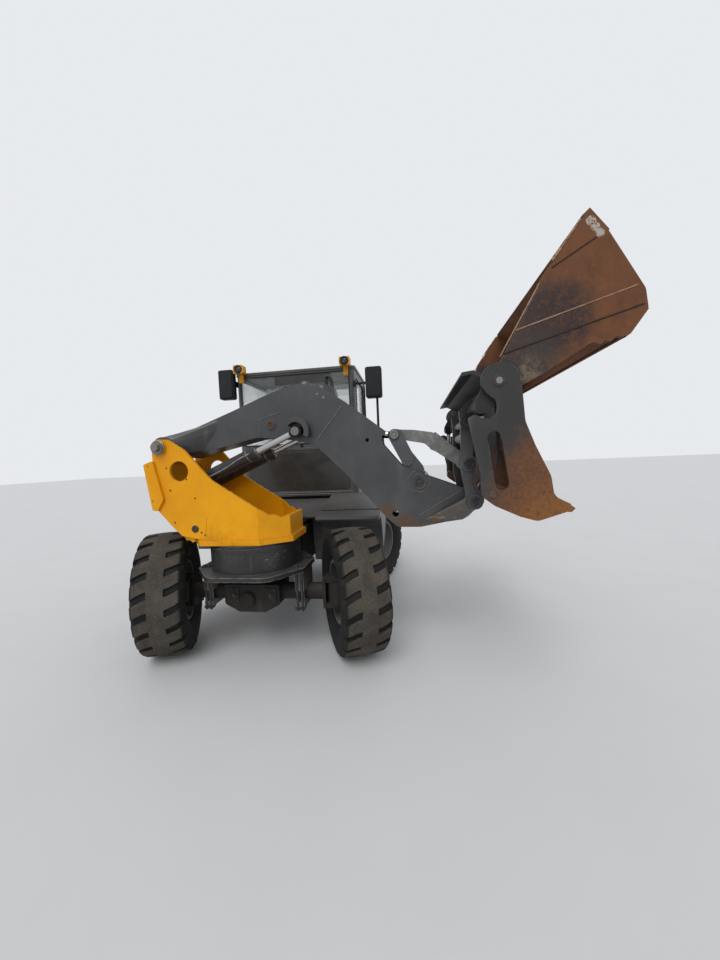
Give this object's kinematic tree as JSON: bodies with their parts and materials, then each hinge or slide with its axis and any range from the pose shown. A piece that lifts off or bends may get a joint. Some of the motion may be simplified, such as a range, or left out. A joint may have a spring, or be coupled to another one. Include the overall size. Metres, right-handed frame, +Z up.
{
  "type": "wheel loader",
  "caption": "Four-wheel-steered loader with its boom slewed to the left on a console over the front axle, a hinged open-jaw bucket, a glazed cab and an engine hood.",
  "frame": {"origin": "on the ground under the slewing axis, which stands over the middle of the front axle", "axes": "-Y is the way the machine faces, +X its left side, +Z up; the boom points to +X"},
  "size_m": [3.8232, 4.086, 2.9101],
  "materials": {
    "charcoal_paint": "satin, scratched and chipped, dusty",
    "chassis_paint": "satin, dusty",
    "yellow_paint": "gloss, chipped at the edges",
    "black_paint": "satin",
    "bucket_paint": "worn to brown rust in the lower part",
    "rusty_steel": "brown rust, ground bright at the edge",
    "worn_steel": "worn grey",
    "chrome": "polished",
    "cast_iron": "rough",
    "rim_paint": "dusty satin",
    "tyre": "dusty, worn tread",
    "glass": "clear with dust",
    "seat_fabric": "woven",
    "dark_plastic": "matt",
    "lamp_plastic": "gloss"
  },
  "bodies": {
    "chassis": {"frame": "chassis_paint", "turret": "charcoal_paint", "front_axle_clamps": "charcoal_paint", "front_axle": "chassis_paint", "rear_axle": "chassis_paint", "cab_shell": "charcoal_paint", "cab_roof": "charcoal_paint", "cab_glass": "glass", "fenders": "charcoal_paint", "step_boxes": "charcoal_paint", "counterweight": "chassis_paint", "engine_block": "cast_iron", "seat": "seat_fabric", "cab_controls": "dark_plastic", "lamps": "lamp_plastic", "mirrors": "dark_plastic"},
    "door": {"cab_door": "charcoal_paint", "cab_door_glass": "glass"},
    "hood": {"engine_hood": "yellow_paint"},
    "console": {"console": "yellow_paint", "console_cover": "yellow_paint"},
    "boom": {"boom": "charcoal_paint"},
    "lift_barrels": {"lift_barrels": "black_paint"},
    "lift_rods": {"lift_rods": "chrome"},
    "tilt_barrel": {"tilt_barrel": "black_paint"},
    "tilt_rod": {"tilt_rod": "chrome"},
    "rocker": {"rocker": "charcoal_paint"},
    "bucket": {"quick_coupler": "charcoal_paint", "bucket_back": "bucket_paint"},
    "tilt_link": {"tilt_link": "worn_steel"},
    "jaw": {"bucket_jaw": "rusty_steel"},
    "clam_barrels": {"clam_barrels": "black_paint"},
    "clam_rods": {"clam_rods": "chrome"},
    "knuckle_front_left": {"knuckle_front_left": "chassis_paint"},
    "wheel_front_left": {"tyre_front_left": "tyre", "rim_front_left": "rim_paint"},
    "knuckle_front_right": {"knuckle_front_right": "chassis_paint"},
    "wheel_front_right": {"tyre_front_right": "tyre", "rim_front_right": "rim_paint"},
    "knuckle_rear_left": {"knuckle_rear_left": "chassis_paint"},
    "wheel_rear_left": {"tyre_rear_left": "tyre", "rim_rear_left": "rim_paint"},
    "knuckle_rear_right": {"knuckle_rear_right": "chassis_paint"},
    "wheel_rear_right": {"tyre_rear_right": "tyre", "rim_rear_right": "rim_paint"}
  },
  "joints": [
    {"name": "steer_front_left", "type": "hinge", "parent": "chassis", "child": "knuckle_front_left", "pos_m": [0.73, 0, 0.538], "axis": [0, 0, 1], "range_deg": [-56.5, 9.5]},
    {"name": "steer_front_right", "type": "hinge", "parent": "chassis", "child": "knuckle_front_right", "pos_m": [-0.73, 0, 0.538], "axis": [0, 0, 1], "range_deg": [-56.5, 9.5]},
    {"name": "steer_rear_left", "type": "hinge", "parent": "chassis", "child": "knuckle_rear_left", "pos_m": [0.73, 2, 0.538], "axis": [0, 0, 1], "range_deg": [-9.5, 56.5]},
    {"name": "steer_rear_right", "type": "hinge", "parent": "chassis", "child": "knuckle_rear_right", "pos_m": [-0.73, 2, 0.538], "axis": [0, 0, 1], "range_deg": [-9.5, 56.5]},
    {"name": "spin_front_left", "type": "hinge", "parent": "knuckle_front_left", "child": "wheel_front_left", "pos_m": [0.84005, 0.04785, 0.538], "axis": [0.9171, 0.3987, 0], "continuous": true},
    {"name": "spin_front_right", "type": "hinge", "parent": "knuckle_front_right", "child": "wheel_front_right", "pos_m": [-0.84005, -0.04785, 0.538], "axis": [0.9171, 0.3987, 0], "continuous": true},
    {"name": "spin_rear_left", "type": "hinge", "parent": "knuckle_rear_left", "child": "wheel_rear_left", "pos_m": [0.84005, 1.95215, 0.538], "axis": [0.9171, -0.3987, 0], "continuous": true},
    {"name": "spin_rear_right", "type": "hinge", "parent": "knuckle_rear_right", "child": "wheel_rear_right", "pos_m": [-0.84005, 2.04785, 0.538], "axis": [0.9171, -0.3987, 0], "continuous": true},
    {"name": "slew", "type": "hinge", "parent": "chassis", "child": "console", "pos_m": [0, 0, 1.02], "axis": [0, 0, 1], "range_deg": [-180, 0]},
    {"name": "boom_lift", "type": "hinge", "parent": "console", "child": "boom", "pos_m": [-0.65, 0, 1.835], "axis": [0, -1, 0], "range_deg": [-5, 41]},
    {"name": "lift_barrel_swing", "type": "hinge", "parent": "console", "child": "lift_barrels", "pos_m": [-0.582, 0, 1.46], "axis": [0, -1, 0], "range_deg": [-6, 37]},
    {"name": "lift_rod_slide", "type": "slide", "parent": "lift_barrels", "child": "lift_rods", "axis": [0.9181, 0, 0.3964], "range_m": [-0.04, 0.26]},
    {"name": "tilt_barrel_swing", "type": "hinge", "parent": "boom", "child": "tilt_barrel", "pos_m": [0.245, 0, 1.985], "axis": [0, 1, 0], "range_deg": [-2, 2]},
    {"name": "tilt_rod_slide", "type": "slide", "parent": "tilt_barrel", "child": "tilt_rod", "axis": [0.992, 0, -0.1263], "range_m": [-0.06, 0.54]},
    {"name": "rocker_swing", "type": "hinge", "parent": "boom", "child": "rocker", "pos_m": [1.44, 0, 1.476], "axis": [0, 1, 0], "range_deg": [-9, 80]},
    {"name": "bucket_tilt", "type": "hinge", "parent": "boom", "child": "bucket", "pos_m": [1.845, 0, 1.319], "axis": [0, 1, 0], "range_deg": [-10, 105]},
    {"name": "link_swing", "type": "hinge", "parent": "bucket", "child": "tilt_link", "pos_m": [1.806, 0, 1.607], "axis": [0, 1, 0], "range_deg": [-82, 9]},
    {"name": "jaw_open", "type": "hinge", "parent": "bucket", "child": "jaw", "pos_m": [1.866, 0, 2.063], "axis": [0, -1, 0], "range_deg": [-81, 0]},
    {"name": "clam_barrel_swing", "type": "hinge", "parent": "bucket", "child": "clam_barrels", "pos_m": [1.795, 0, 1.48], "axis": [0, -1, 0], "range_deg": [-1, 8]},
    {"name": "clam_rod_slide", "type": "slide", "parent": "clam_barrels", "child": "clam_rods", "axis": [-0.0314, 0, 0.9995], "range_m": [-0.01, 0.23]},
    {"name": "door_swing", "type": "hinge", "parent": "chassis", "child": "door", "pos_m": [0.76, 2.138, 1.8], "axis": [0, 0, 1], "range_deg": [0, 100]},
    {"name": "hood_swing", "type": "hinge", "parent": "chassis", "child": "hood", "pos_m": [0, 2.398, 1.808], "axis": [1, 0, 0], "range_deg": [0, 60]}
  ],
  "couplings": [
    {"joint": "steer_front_right", "follows": "steer_front_left", "ratio": 1},
    {"joint": "steer_rear_left", "follows": "steer_front_left", "ratio": -1},
    {"joint": "steer_rear_right", "follows": "steer_front_left", "ratio": -1},
    {"joint": "lift_barrel_swing", "follows": "boom_lift", "ratio": 0.865},
    {"joint": "lift_rod_slide", "follows": "boom_lift", "m_per_rad": 0.335},
    {"joint": "rocker_swing", "follows": "bucket_tilt", "ratio": 0.74},
    {"joint": "link_swing", "follows": "bucket_tilt", "ratio": -0.75},
    {"joint": "tilt_barrel_swing", "follows": "bucket_tilt", "ratio": -0.008},
    {"joint": "tilt_rod_slide", "follows": "bucket_tilt", "m_per_rad": 0.29},
    {"joint": "clam_barrel_swing", "follows": "jaw_open", "ratio": -0.08},
    {"joint": "clam_rod_slide", "follows": "jaw_open", "m_per_rad": -0.144}
  ]
}
